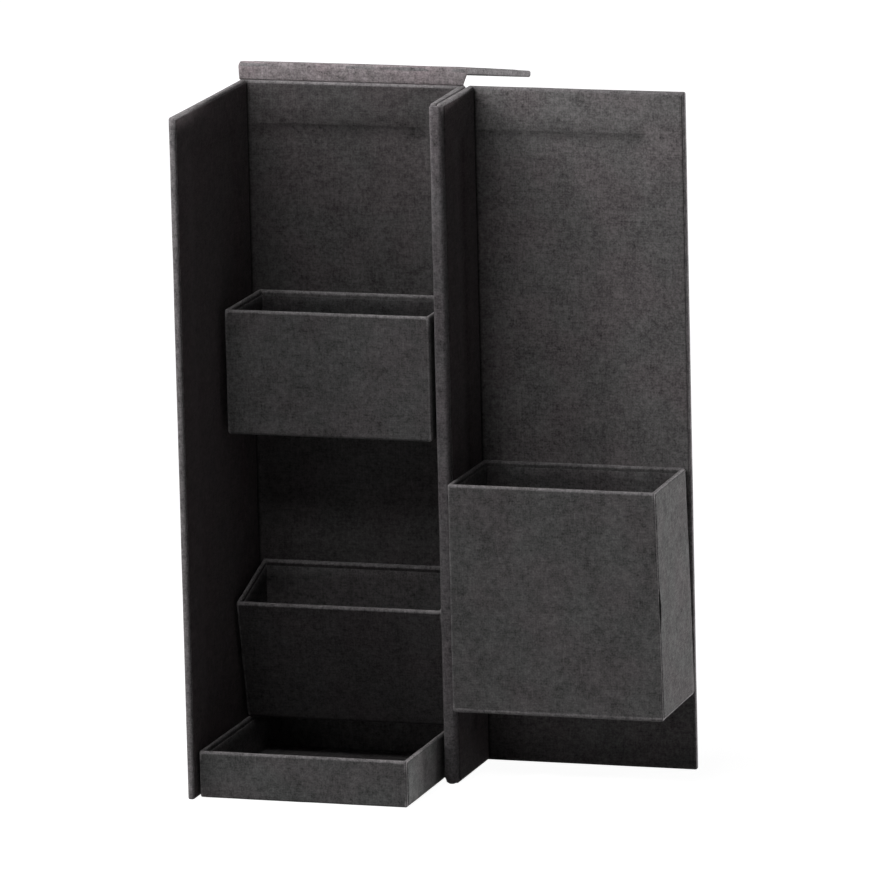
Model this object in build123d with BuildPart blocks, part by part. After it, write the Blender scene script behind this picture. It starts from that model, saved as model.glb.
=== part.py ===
"""Fold-out storage box of cloth-covered board, open, in millimetres.

The box stands on z = 0 with +Z up. The origin is on the floor, midway between the left wall and the inner side
wall, in line with the cover's hinge. +X runs towards the open cover and +Y towards the back wall.
"""
from build123d import *
from math import cos, radians, sin, tan
import os

# Driving dimensions
height = 320.0             # every upright wall
bay_width = 104.8          # clear width between the left wall and the inner side wall
half_depth = 50.4          # from the cover's hinge line to the inner face of the back wall
board = 2.4                # greyboard core of a wall
cloth = 0.3                # book cloth, glued on
card = 1.0                 # thin board that the pockets are made of
end_turn_in = 20.0         # outer cloth turned over a wall's upper and lower edges onto its inner face
side_turn_in = 12.0        # the same at a wall's upright edges
pocket_turn_in = 8.0       # how far a pocket's cloth is turned over its rim
edge_radius = 0.5          # cloth pulled round a board's edge
hinge_gap = 2.4            # from the hinge line to the end of each half-depth wall
hinge_front = 0.5          # the hinge cloth stands this far in front of the hinge line
back_to_back = 0.1         # clearance between the two half-depth walls
end_clearance = 0.3        # keeps the leaning wall's corner clear of the back wall
inner_side_lean = 2.0      # degrees that the inner side wall leans in towards the back
cover_width = 101.3        # from the cover side wall's inner face to the cover's free edge
lid_length = 103.0
lid_droop = 10.4           # degrees below level at which the flipped lid stays
lid_pivot_height = 4.55    # hinge line above the walls' top edges
lid_offset = 2.8           # from the lid hinge line to the middle of the lid's thickness
lid_lead = 0.5             # the lid starts this far short of its hinge line

wall = board + 2 * cloth
pocket_wall = card + 2 * cloth
bay_left = -bay_width / 2
bay_right = bay_width / 2
hinge_x = bay_right + wall + back_to_back / 2
cover_left = hinge_x + back_to_back / 2
cover_inner_x = cover_left + wall
cover_right = cover_inner_x + cover_width
outer_left = bay_left - wall

os.makedirs("parts", exist_ok=True)


def save(piece, name):
    """Label a finished piece and write it as one STEP file."""
    piece.part.label = name
    export_step(piece.part, f"parts/{name}.step")


# Walls and lid. Each one is a greyboard core, an outer cloth that is turned in over all four edges, and a liner
# glued inside the turned-in border. inner_face is the plane of the wall's inner face: its origin is the middle of
# the lower edge, its y direction runs up the wall and its normal points out of the box.
def wall_board(name, inner_face, length, rise):
    with BuildPart() as core:
        with BuildSketch(inner_face.offset(cloth)):
            with Locations((0, rise / 2)):
                Rectangle(length - 2 * cloth, rise - 2 * cloth)
        extrude(amount=board)
    save(core, f"{name}_board")


def wall_cloth(name, inner_face, length, rise):
    with BuildPart() as wrap:
        with BuildSketch(inner_face):
            with Locations((0, rise / 2)):
                Rectangle(length, rise)
        extrude(amount=wall)
        fillet(wrap.edges(), radius=edge_radius)
        with BuildSketch(inner_face.offset(cloth)):
            with Locations((0, rise / 2)):
                Rectangle(length - 2 * cloth, rise - 2 * cloth)
        extrude(amount=board, mode=Mode.SUBTRACT)
        with BuildSketch(inner_face):
            with Locations((0, rise / 2)):
                Rectangle(length - 2 * side_turn_in, rise - 2 * end_turn_in)
        extrude(amount=cloth, mode=Mode.SUBTRACT)
    save(wrap, f"{name}_cloth")


def wall_liner(name, inner_face, length, rise):
    with BuildPart() as liner:
        with BuildSketch(inner_face):
            with Locations((0, rise / 2)):
                Rectangle(length - 2 * side_turn_in, rise - 2 * end_turn_in)
        extrude(amount=cloth)
    save(liner, f"{name}_liner")


def covered_wall(name, inner_face, length, rise):
    wall_board(name, inner_face, length, rise)
    wall_cloth(name, inner_face, length, rise)
    wall_liner(name, inner_face, length, rise)


# Left wall: full depth, so its front edge is flush with the closed cover's outer face
left_depth = 2 * half_depth + wall
left_face = Plane(origin=(bay_left, half_depth - left_depth / 2, 0), x_dir=(0, -1, 0), z_dir=(-1, 0, 0))
covered_wall("left_wall", left_face, left_depth, height)

# Inner side wall: half depth, from the hinge to the back wall, leaning in a little towards the back
lean = radians(inner_side_lean)
side_depth = half_depth - hinge_gap
side_centre = (bay_right - side_depth / 2 * sin(lean), hinge_gap + side_depth / 2 * cos(lean), 0)
side_face = Plane(origin=side_centre, x_dir=(-sin(lean), cos(lean), 0), z_dir=(cos(lean), sin(lean), 0))
covered_wall("inner_side", side_face, side_depth - end_clearance, height)

# Back wall: behind the left wall and the inner side wall
back_right = bay_right - side_depth * sin(lean) + wall
back_centre = (outer_left + back_right) / 2
back_face = Plane(origin=(back_centre, half_depth, 0), x_dir=(-1, 0, 0), z_dir=(0, 1, 0))
covered_wall("back_wall", back_face, back_right - outer_left, height)

# Cover side wall: back to back with the inner side wall while the cover is open
cover_side_centre = (cover_inner_x, hinge_gap + side_depth / 2, 0)
cover_side_face = Plane(origin=cover_side_centre, x_dir=(0, -1, 0), z_dir=(-1, 0, 0))
covered_wall("cover_side", cover_side_face, side_depth, height)

# Cover front: the box's front when it is closed, in line with the back wall while it is open
cover_front_centre = (cover_left + cover_right) / 2
cover_front_face = Plane(origin=(cover_front_centre, half_depth, 0), x_dir=(-1, 0, 0), z_dir=(0, 1, 0))
covered_wall("cover_front", cover_front_face, cover_right - cover_left, height)

# Lid: flipped back over the back wall. Its inner face looks up, and its hinge line runs along X above the
# inner face of the back wall.
droop = radians(lid_droop)
lid_inner_offset = lid_offset + wall / 2
lid_start_y = half_depth + lid_inner_offset * sin(droop) - lid_lead * cos(droop)
lid_start_z = height + lid_pivot_height + lid_inner_offset * cos(droop) + lid_lead * sin(droop)
lid_right = bay_right + wall
lid_face = Plane(
    origin=((outer_left + lid_right) / 2, lid_start_y, lid_start_z),
    x_dir=(-1, 0, 0),
    z_dir=(0, -sin(droop), -cos(droop)),
)
covered_wall("lid", lid_face, lid_right - outer_left, lid_length)

# Cover hinge: doubled book cloth bent round the front ends of the two half-depth walls
hinge_cloth = 2 * cloth
hinge_outer_radius = 1.8
hinge_depth = hinge_gap + hinge_front
hinge_width = cover_inner_x - bay_right
with BuildPart() as cover_hinge:
    with BuildSketch(Plane.XY.offset(cloth)):
        with Locations((hinge_x, hinge_depth / 2 - hinge_front)):
            outline = Rectangle(hinge_width, hinge_depth)
        fillet(outline.vertices().group_by(Axis.Y)[0], radius=hinge_outer_radius)
    extrude(amount=height - 2 * cloth)
    with BuildSketch(Plane.XY.offset(cloth)):
        with Locations((hinge_x, hinge_depth / 2 - hinge_front + hinge_cloth / 2)):
            hollow = Rectangle(hinge_width - 2 * hinge_cloth, hinge_depth - hinge_cloth)
        fillet(hollow.vertices().group_by(Axis.Y)[0], radius=hinge_outer_radius - hinge_cloth)
    extrude(amount=height - 2 * cloth, mode=Mode.SUBTRACT)
save(cover_hinge, "cover_hinge_cloth")

# Lid hinge: a web of doubled book cloth from the rear of the back wall's top edge, forward to the lid's near
# edge. Its right end is cut on the slant.
web_foot_y = half_depth + wall - 0.5
web_head_y = half_depth + 0.4
web_head_z = lid_start_z - wall * cos(droop) - (web_head_y - lid_start_y + wall * sin(droop)) * tan(droop)
web_rise = web_head_z - height
web_run = web_foot_y - web_head_y
web_foot = hinge_cloth * web_run / web_rise    # sets the web's front edge on the back wall's top
web_head = (web_run ** 2 + web_rise ** 2) ** 0.5 - 0.02
web_cut = 2.4
web_plane = Plane(
    origin=(0, web_foot_y, height),
    x_dir=(1, 0, 0),
    z_dir=(0, -web_rise, -web_run),
)
with BuildPart() as lid_hinge:
    with BuildSketch(web_plane):
        with BuildLine():
            Polyline(
                (outer_left + edge_radius, web_foot),
                (back_right - edge_radius, web_foot),
                (back_right - edge_radius + web_cut, web_head),
                (outer_left + edge_radius, web_head),
                close=True,
            )
        make_face()
    extrude(amount=hinge_cloth)
save(lid_hinge, "lid_hinge_cloth")


class PocketShape:
    """A pocket's side profile in Y and Z, and its two end faces. Its back is glued to a wall's inner face at
    y = half_depth. Its front may lean, its rim may slope and its right face may lean in and splay."""

    def __init__(self, left, right, rim_depth, base_depth, base_z, front_z, back_z, right_lean=0, right_splay=0):
        self.base_z = base_z
        self.back_z = back_z
        self.front_y = half_depth - base_depth
        self.front_slope = (base_depth - rim_depth) / (front_z - base_z)
        self.rim_slope = (back_z - front_z) / rim_depth
        self.left_face = Plane(origin=(left, half_depth, base_z), z_dir=(1, 0, 0))
        right_normal = (1, tan(radians(right_splay)), tan(radians(right_lean)))
        self.right_face = Plane(origin=(right, half_depth, base_z), z_dir=right_normal)

    def front_at(self, inset, z):
        """Point on the front plane, moved in by inset, at height z."""
        lean_factor = (1 + self.front_slope ** 2) ** 0.5
        return (self.front_y + self.front_slope * (z - self.base_z) + inset * lean_factor, z)

    def front_rim(self, inset, drop):
        """Point where the front plane, moved in by inset, meets the rim, lowered by drop."""
        foot_y = self.front_at(inset, self.base_z)[0]
        rim_at_foot = self.back_z - drop + self.rim_slope * (foot_y - half_depth)
        rise = (rim_at_foot - self.base_z) / (1 - self.rim_slope * self.front_slope)
        return self.front_at(inset, self.base_z + rise)

    def back_rim(self, inset, drop):
        """Point where the back, moved in by inset, meets the rim, lowered by drop."""
        return (half_depth - inset, self.back_z - drop - self.rim_slope * inset)

    def outline(self, inset, floor, drop):
        """The profile moved in by inset at front and back, by floor at the base and by drop at the rim."""
        base = self.base_z + floor
        return (
            self.front_at(inset, base),
            (half_depth - inset, base),
            self.back_rim(inset, drop),
            self.front_rim(inset, drop),
        )


over_rim = -5.0            # a hollow is cut this far past the rim
past_ends = 5.0            # an outline is drawn out this far past the end faces before they trim it


def block_between(points, left_face, right_face):
    """A Y-Z outline drawn out along X and trimmed by two end faces, whose normals point to +X."""
    start = left_face.origin.X - past_ends
    with BuildPart() as block:
        with BuildSketch(Plane.YZ.offset(start)):
            Polygon(*points, align=None)
        extrude(amount=right_face.origin.X + past_ends - start)
        split(bisect_by=left_face, keep=Keep.TOP)
        split(bisect_by=right_face, keep=Keep.BOTTOM)
    return block.part


def pocket_block(shape, points, inset):
    """A block that stays inset inside both end faces of the pocket."""
    return block_between(points, shape.left_face.offset(inset), shape.right_face.offset(-inset))


# Pockets and tray. Each one is five cards, a cloth that covers the outside and is turned in over the rim, and a
# liner that covers the rest of the inside.
def pocket_cards(name, shape):
    inside = cloth + card
    base = shape.base_z + cloth
    front_points = (
        shape.front_at(cloth, base),
        shape.front_at(inside, base),
        shape.front_rim(inside, cloth),
        shape.front_rim(cloth, cloth),
    )
    back_points = (
        (half_depth - inside, base),
        (half_depth - cloth, base),
        shape.back_rim(cloth, cloth),
        shape.back_rim(inside, cloth),
    )
    side_points = shape.outline(inside, cloth, cloth)
    bottom_points = (
        shape.front_at(inside, base),
        (half_depth - inside, base),
        (half_depth - inside, base + card),
        shape.front_at(inside, base + card),
    )
    left_out = shape.left_face.offset(cloth)
    left_in = shape.left_face.offset(inside)
    right_in = shape.right_face.offset(-inside)
    right_out = shape.right_face.offset(-cloth)
    cards = {
        "front": block_between(front_points, left_out, right_out),
        "back": block_between(back_points, left_out, right_out),
        "left": block_between(side_points, left_out, left_in),
        "right": block_between(side_points, right_in, right_out),
        "bottom": block_between(bottom_points, left_in, right_in),
    }
    for side, panel in cards.items():
        panel.label = f"{name}_{side}_card"
        export_step(panel, f"parts/{panel.label}.step")


def pocket_cloth(name, shape):
    under = cloth + card
    turned = (
        shape.front_rim(under, pocket_turn_in),
        shape.back_rim(under, pocket_turn_in),
        shape.back_rim(under, cloth),
        shape.front_rim(under, cloth),
    )
    outside = pocket_block(shape, shape.outline(0, 0, 0), 0)
    card_space = pocket_block(shape, shape.outline(cloth, cloth, cloth), cloth)
    turned_in = pocket_block(shape, turned, under)
    hollow = pocket_block(shape, shape.outline(pocket_wall, pocket_wall, over_rim), pocket_wall)
    with BuildPart() as cover:
        add(outside)
        add(card_space, mode=Mode.SUBTRACT)
        add(turned_in)
        add(hollow, mode=Mode.SUBTRACT)
    save(cover, f"{name}_cloth")


def pocket_liner(name, shape):
    under = cloth + card
    inside = pocket_block(shape, shape.outline(under, under, pocket_turn_in), under)
    hollow = pocket_block(shape, shape.outline(pocket_wall, pocket_wall, over_rim), pocket_wall)
    with BuildPart() as liner:
        add(inside)
        add(hollow, mode=Mode.SUBTRACT)
    save(liner, f"{name}_liner")


def pocket(name, shape):
    pocket_cards(name, shape)
    pocket_cloth(name, shape)
    pocket_liner(name, shape)


# Upper pocket: a square box half way up the back wall
upper_shape = PocketShape(
    left=bay_left + 3.9, right=bay_right - 2.1, rim_depth=51.4, base_depth=51.4,
    base_z=162.5, front_z=221.1, back_z=221.1,
)
pocket("upper_pocket", upper_shape)

# Tray: a low box on the floor over the full depth of the bay, with a sheet of cloth under its base
tray_height = 22.4
tray_left = bay_left + 2.0
tray_right = bay_right - 2.5
tray_shape = PocketShape(
    left=tray_left, right=tray_right, rim_depth=100.2, base_depth=100.2,
    base_z=cloth, front_z=tray_height, back_z=tray_height,
)
pocket("tray", tray_shape)
with BuildPart() as base_cloth:
    with BuildSketch(Plane.YZ.offset(tray_left + edge_radius)):
        Polygon(
            tray_shape.front_at(edge_radius, 0),
            (half_depth - edge_radius, 0),
            (half_depth - edge_radius, cloth),
            tray_shape.front_at(edge_radius, cloth),
            align=None,
        )
    extrude(amount=tray_right - tray_left - 2 * edge_radius)
save(base_cloth, "tray_base_cloth")

# Lower pocket: a wedge that stands on the tray's rim, wider at the top, with its rim sloping down to the front
lower_shape = PocketShape(
    left=bay_left + 2.4, right=bay_right - 2.1, rim_depth=42.0, base_depth=29.4,
    base_z=tray_height + 0.4, front_z=80.0, back_z=92.3,
)
pocket("lower_pocket", lower_shape)

# Tall pocket: on the inner face of the cover front, it fills the bay's depth when the box is closed. Its right
# side leans in towards the rim and stands out a little towards the front.
tall_shape = PocketShape(
    left=cover_inner_x + 1.0, right=cover_right - 0.6, rim_depth=57.2, base_depth=57.2,
    base_z=36.4, front_z=143.9, back_z=143.9, right_lean=1.2, right_splay=1.5,
)
pocket("tall_pocket", tall_shape)
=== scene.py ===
from math import cos, pi, radians, sin, tan

import bmesh
import bpy
from mathutils import Matrix, Vector, noise
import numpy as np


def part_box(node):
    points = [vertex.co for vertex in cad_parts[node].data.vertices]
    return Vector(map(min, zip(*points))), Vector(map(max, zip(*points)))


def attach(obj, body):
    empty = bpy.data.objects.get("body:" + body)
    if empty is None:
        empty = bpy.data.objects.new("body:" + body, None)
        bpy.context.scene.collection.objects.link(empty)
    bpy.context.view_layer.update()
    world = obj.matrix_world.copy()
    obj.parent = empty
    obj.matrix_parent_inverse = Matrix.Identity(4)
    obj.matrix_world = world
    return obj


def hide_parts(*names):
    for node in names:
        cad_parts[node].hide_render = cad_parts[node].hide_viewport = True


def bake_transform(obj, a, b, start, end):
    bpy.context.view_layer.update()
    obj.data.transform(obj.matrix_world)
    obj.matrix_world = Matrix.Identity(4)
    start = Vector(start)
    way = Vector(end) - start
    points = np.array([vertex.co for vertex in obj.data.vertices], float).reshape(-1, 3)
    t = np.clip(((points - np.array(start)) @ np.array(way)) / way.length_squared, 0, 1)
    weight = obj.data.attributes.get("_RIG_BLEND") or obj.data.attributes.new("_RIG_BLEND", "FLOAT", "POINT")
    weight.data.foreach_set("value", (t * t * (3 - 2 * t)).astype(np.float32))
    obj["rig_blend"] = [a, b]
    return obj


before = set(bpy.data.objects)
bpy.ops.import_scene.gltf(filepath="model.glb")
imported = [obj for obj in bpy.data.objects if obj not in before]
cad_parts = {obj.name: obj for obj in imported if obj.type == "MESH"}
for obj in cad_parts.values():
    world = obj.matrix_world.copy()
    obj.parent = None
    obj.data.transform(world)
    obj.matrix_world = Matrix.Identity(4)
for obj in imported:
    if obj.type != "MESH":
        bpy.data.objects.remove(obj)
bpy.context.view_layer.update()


# ---- Greyboard cores and pocket cards --------------------------------------------------------------
# Each wall and the lid is a sheet of 2.4 mm greyboard, and the pockets are 1 mm card of the same recycled
# pulp. They are guillotined, glued together and then covered, so the cloth hides them.
mm = 0.001                 # every size of a piece is in millimetres, and its mesh is carried to metres
board_grey = (0.36, 0.335, 0.30, 1)
card_grey = (0.40, 0.375, 0.34, 1)
dark_fleck = (0.13, 0.12, 0.11, 1)
fibre_size = (1.6, 0.35, 0.35)
cloud_size = (14, 14, 14)
fleck_size = (0.7, 0.7, 0.7)
fleck_noise = (0.66, 0.74)  # the noise at which a fleck begins, and at which it is at its darkest
pulp_contrast = 0.4        # how much the fibres and clouds darken the board
board_relief = 0.08
card_relief = 0.04
pulp_roughness = 0.95
pulp_shine = 0.2


def shader_node(tree, kind, feeds, **settings):
    """A node with its settings made, and each input fed by a socket or set to a value."""
    made = tree.nodes.new(kind)
    for setting, value in settings.items():
        setattr(made, setting, value)
    for name, value in feeds.items():
        if isinstance(value, bpy.types.NodeSocket):
            tree.links.new(value, made.inputs[name])
        else:
            made.inputs[name].default_value = value
    return made


def worked_out(tree, operation, *terms):
    """The result of a Math node on these terms."""
    return shader_node(tree, "ShaderNodeMath", dict(enumerate(terms)), operation=operation).outputs[0]


def grains(tree, place, stretch, detail=2.0):
    """Noise about 0.5 whose grains are stretch millimetres long on each axis."""
    smaller = shader_node(
        tree, "ShaderNodeVectorMath", {0: place, 1: [1 / s for s in stretch]}, operation="MULTIPLY"
    )
    return shader_node(
        tree, "ShaderNodeTexNoise", {"Vector": smaller.outputs[0], "Scale": 1.0, "Detail": detail}
    ).outputs["Fac"]


def eased(tree, value, low, high):
    """0 where the value is below low, 1 where it is above high, and smooth between them."""
    return shader_node(
        tree, "ShaderNodeMapRange", {"Value": value, "From Min": low, "From Max": high},
        interpolation_type="SMOOTHSTEP",
    ).outputs[0]


def mixed(tree, share, first, second):
    """The two colours mixed, with this share of the second."""
    return shader_node(tree, "ShaderNodeMix", {0: share, 6: first, 7: second}, data_type="RGBA").outputs[2]


def dimmed(tree, colour, factor):
    """The colour or vector times a factor."""
    return shader_node(
        tree, "ShaderNodeVectorMath", {0: colour, "Scale": factor}, operation="SCALE"
    ).outputs[0]


def effect(name, inputs, outputs):
    """A new node group with named inputs and outputs: the group, what it is given and what it puts out."""
    group = bpy.data.node_groups.new(name, "ShaderNodeTree")
    for socket, kind, value in inputs:
        made = group.interface.new_socket(name=socket, in_out="INPUT", socket_type=f"NodeSocket{kind}")
        if value is not None:
            made.default_value = value
    for socket, kind in outputs:
        group.interface.new_socket(name=socket, in_out="OUTPUT", socket_type=f"NodeSocket{kind}")
    return group, group.nodes.new("NodeGroupInput").outputs, group.nodes.new("NodeGroupOutput").inputs


def fresh_material(name):
    """A new material with only its Principled BSDF: the material, its tree and the BSDF's inputs."""
    material = bpy.data.materials.new(name)
    material.use_nodes = True
    return material, material.node_tree, material.node_tree.nodes["Principled BSDF"].inputs


pulp, given, result = effect(
    "pressed pulp",
    [("Place", "Vector", None), ("Grey", "Color", board_grey), ("Fleck", "Color", dark_fleck)],
    [("Colour", "Color"), ("Height", "Float")],
)
fibres = grains(pulp, given["Place"], fibre_size, detail=3)
clouds = grains(pulp, given["Place"], cloud_size)
flecks = eased(pulp, grains(pulp, given["Place"], fleck_size), *fleck_noise)
uneven = worked_out(pulp, "ADD", fibres, clouds)
shade = worked_out(pulp, "MULTIPLY_ADD", uneven, pulp_contrast, 1 - pulp_contrast)
flecked = mixed(pulp, flecks, dimmed(pulp, given["Grey"], shade), given["Fleck"])
pulp.links.new(flecked, result["Colour"])
pulp.links.new(fibres, result["Height"])


def pulp_material(name, grey, relief):
    """Uncoated board of this grey, with dark flecks and a fibrous surface relief millimetres deep."""
    material, tree, surface = fresh_material(name)
    in_metres = tree.nodes.new("ShaderNodeTexCoord").outputs["Object"]
    board = shader_node(
        tree, "ShaderNodeGroup",
        {"Place": dimmed(tree, in_metres, 1 / mm), "Grey": grey, "Fleck": dark_fleck}, node_tree=pulp,
    ).outputs
    bump = shader_node(tree, "ShaderNodeBump", {"Height": board["Height"], "Distance": relief * mm})
    tree.links.new(board["Colour"], surface["Base Color"])
    tree.links.new(bump.outputs[0], surface["Normal"])
    surface["Roughness"].default_value = pulp_roughness
    surface["Specular IOR Level"].default_value = pulp_shine
    return material


greyboard = pulp_material("greyboard", board_grey, board_relief)
thin_card = pulp_material("pocket card", card_grey, card_relief)
for name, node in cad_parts.items():
    if name.endswith("_board"):
        node.material_slots[0].material = greyboard
    if name.endswith("_card"):
        node.material_slots[0].material = thin_card


# ---- Cloth round the walls and the lid -------------------------------------------------------------
# Charcoal book cloth, a fine plain weave on paper, glued over the outer face of each board. It is pulled
# round the four edges and turned in onto the inner face, where the lining covers the turned-in border.
cloth_thickness = 0.3
edge_radius = 0.9
edge_fullness = 0.15       # how far the folded cloth stands off the board's edges
rubbed_width = 0.9         # how far the rubbing of an edge reaches onto the faces beside it
corner_reach = 3.5         # how far the wear of a corner reaches
side_turn_in = 19.0
end_turn_in = 20.0
panel_step = 8.0           # spacing of the points of a large face
wall_swell = (0.10, 26.0)  # depth and length of the long waves of the glued cloth
wall_ripple = (0.03, 7.0)  # and of the short ones
wave_shift = (7.3, 3.1, 5.7)  # how far the noise of a piece's waves lies from the next piece's
weave_shift = 41.0         # how far apart two pieces are cut from the roll, so that no two look alike
facing_in = -0.9           # a face whose normal is below this lies on the side of the lining
inner_side_lean = radians(2.0)
lean = tan(inner_side_lean)
packing = 0.88             # how much of the wedge between the leaning wall and the cover's side is filled
lid_droop = radians(10.4)

corner_shade = 0.9         # how much painted shade darkens the cloth in an inner corner between two walls
corner_fades = (0.2, 1.9)  # how far out of the corner the painted shade begins to fade, and where it ends
corner_depth = 1.0         # and how far behind the wall's inner face it reaches
inner_corners = {          # where each wall's inner corners are, from its start, or below 0 from its end
    "left_wall": (0.0,),
    "inner_side": (-0.01,),
    "back_wall": (3.0, -3.0),
    "cover_side": (0.0,),
    "cover_front": (-3.0,),
    "lid": (),
}

upright = Vector((0, 0, 1))
walls = {                  # the body that the wall moves with, and its directions across and up
    "left_wall": ("standing_half", Vector((0, -1, 0)), upright),
    "inner_side": ("standing_half", Vector((-sin(inner_side_lean), cos(inner_side_lean), 0)), upright),
    "back_wall": ("standing_half", Vector((-1, 0, 0)), upright),
    "cover_side": ("cover", Vector((0, -1, 0)), upright),
    "cover_front": ("cover", Vector((-1, 0, 0)), upright),
    "lid": ("lid", Vector((-1, 0, 0)), Vector((0, cos(lid_droop), -sin(lid_droop)))),
}

thread_pitch = 0.52
thread_sway = 0.8          # how far the threads wander off their straight lines
sway_size = (8, 8, 8)
warp_slub = (0.6, 6.0, 4.0)
weft_slub = (6.0, 0.6, 4.0)

weave, given, result = effect(
    "plain weave",
    [("Place", "Vector", None), ("Pitch", "Float", thread_pitch)],
    [("Threads", "Float"), ("Slubs", "Float")],
)
across_along = shader_node(weave, "ShaderNodeSeparateXYZ", {0: given["Place"]})
wander = grains(weave, given["Place"], sway_size)
sway = worked_out(weave, "MULTIPLY_ADD", wander, thread_sway, -thread_sway / 2)
ridges = []
for thread_place in across_along.outputs[:2]:
    swayed = worked_out(weave, "ADD", thread_place, sway)
    turn = worked_out(weave, "MULTIPLY", worked_out(weave, "DIVIDE", swayed, given["Pitch"]), 2 * pi)
    ridges.append(worked_out(weave, "SINE", turn))
crossing = worked_out(weave, "MULTIPLY", *ridges)
warp_slubs = grains(weave, given["Place"], warp_slub, detail=3)
weft_slubs = grains(weave, given["Place"], weft_slub, detail=3)
slubs = worked_out(weave, "MULTIPLY", worked_out(weave, "ADD", warp_slubs, weft_slubs), 0.5)
weave.links.new(worked_out(weave, "MULTIPLY_ADD", crossing, 0.5, 0.5), result["Threads"])
weave.links.new(slubs, result["Slubs"])

rub_size = (2.2, 2.2, 2.2)
rub_spread = (1.4, 0.3)    # how much the rubbing varies along an edge, and the least of it
first_rub = 0.15           # the edge value at which the rubbing begins to show
least_rub = 1.6            # and the one at which it is full, on cloth that isn't worn at all

rubbing, given, result = effect(
    "rubbed edges",
    [("Place", "Vector", None), ("Edge", "Float", 0.0), ("Reach", "Float", 0.5)],
    [("Rubbed", "Float")],
)
fraying = grains(rubbing, given["Place"], rub_size, detail=3)
uneven = worked_out(rubbing, "MULTIPLY_ADD", fraying, *rub_spread)
worn = worked_out(rubbing, "MULTIPLY", given["Edge"], uneven)
bare = worked_out(rubbing, "SUBTRACT", least_rub, given["Reach"])
rubbing.links.new(eased(rubbing, worn, first_rub, bare), result["Rubbed"])

speck_size = (0.85, 0.85, 0.85)
spot_size = (2.4, 2.4, 2.4)
spot_strength = 0.8        # against that of the specks
patch_size = (10, 10, 10)
warmth_size = (24, 24, 24)
warmth_noise = (0.35, 0.65)

mottling, given, result = effect(
    "uneven dye",
    [("Place", "Vector", None), ("Grain", "Float", 1.4), ("Patches", "Float", 0.6)],
    [("Tone", "Float"), ("Warmth", "Float")],
)
specks = grains(mottling, given["Place"], speck_size)
spots = grains(mottling, given["Place"], spot_size)
patches = grains(mottling, given["Place"], patch_size, detail=3)
spotting = worked_out(mottling, "MULTIPLY_ADD", spots, spot_strength, -(1 + spot_strength) / 2)
fine_part = worked_out(mottling, "MULTIPLY", worked_out(mottling, "ADD", specks, spotting), given["Grain"])
patching = worked_out(mottling, "SUBTRACT", patches, 0.5)
large_part = worked_out(mottling, "MULTIPLY", patching, given["Patches"])
tone = worked_out(mottling, "ADD", worked_out(mottling, "ADD", fine_part, large_part), 1.0)
mottling.links.new(tone, result["Tone"])
warmth = eased(mottling, grains(mottling, given["Place"], warmth_size), *warmth_noise)
mottling.links.new(warmth, result["Warmth"])

charcoal = (0.086, 0.0805, 0.082, 1)
rubbed_grey = (0.20, 0.188, 0.192, 1)
cool_tint = (0.985, 1.008, 1.003, 1)
warm_tint = (1.02, 0.985, 0.998, 1)
slub_strength = 0.85
thread_strength = 0.24     # how much the threads' ridges lighten the cloth
thread_height = 0.45       # against that of the slubs
slub_polish = 0.3          # how much smoother the slubs are than the cloth between them

cloth_face, given, result = effect(
    "book cloth",
    [
        ("Place", "Vector", None), ("Edge", "Float", 0.0), ("Dye", "Color", charcoal),
        ("Rubbed dye", "Color", rubbed_grey), ("Grain", "Float", 1.0), ("Patches", "Float", 1.0),
        ("Wear", "Float", 0.5), ("Painted shade", "Float", 0.0),
    ],
    [("Colour", "Color"), ("Roughness", "Float"), ("Height", "Float")],
)
threads = shader_node(cloth_face, "ShaderNodeGroup", {"Place": given["Place"]}, node_tree=weave).outputs
dyeing = shader_node(
    cloth_face, "ShaderNodeGroup",
    {"Place": given["Place"], "Grain": given["Grain"], "Patches": given["Patches"]}, node_tree=mottling,
).outputs
rubbed = shader_node(
    cloth_face, "ShaderNodeGroup",
    {"Place": given["Place"], "Edge": given["Edge"], "Reach": given["Wear"]}, node_tree=rubbing,
).outputs["Rubbed"]
slub_tone = worked_out(
    cloth_face, "MULTIPLY", worked_out(cloth_face, "SUBTRACT", threads["Slubs"], 0.5),
    worked_out(cloth_face, "MULTIPLY", given["Grain"], slub_strength),
)
thread_tone = worked_out(
    cloth_face, "MULTIPLY_ADD", threads["Threads"], thread_strength, -thread_strength / 2
)
tone = worked_out(cloth_face, "ADD", dyeing["Tone"], worked_out(cloth_face, "ADD", slub_tone, thread_tone))
# painted shade darkens the tone: in inner corners, and as a painted shadow below a step
tone = worked_out(cloth_face, "MULTIPLY", tone, worked_out(cloth_face, "SUBTRACT", 1.0, given["Painted shade"]))
tint = mixed(cloth_face, dyeing["Warmth"], cool_tint, warm_tint)
tinted = shader_node(cloth_face, "ShaderNodeVectorMath", {0: given["Dye"], 1: tint}, operation="MULTIPLY")
worn_dye = mixed(cloth_face, rubbed, tinted.outputs[0], given["Rubbed dye"])
cloth_face.links.new(dimmed(cloth_face, worn_dye, tone), result["Colour"])
roughness = worked_out(cloth_face, "MULTIPLY_ADD", threads["Slubs"], -slub_polish, 1.0)
cloth_face.links.new(roughness, result["Roughness"])
relief = worked_out(cloth_face, "MULTIPLY_ADD", threads["Threads"], thread_height, threads["Slubs"])
cloth_face.links.new(relief, result["Height"])

cloth_grain = 1.45
cloth_patches = 0.75
cloth_relief = 0.11
cloth_shine = 0.06
cloth_sheen = 0.04
sheen_roughness = 0.5
outer_wear = 0.5           # how far the outer cloth is rubbed through


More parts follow.
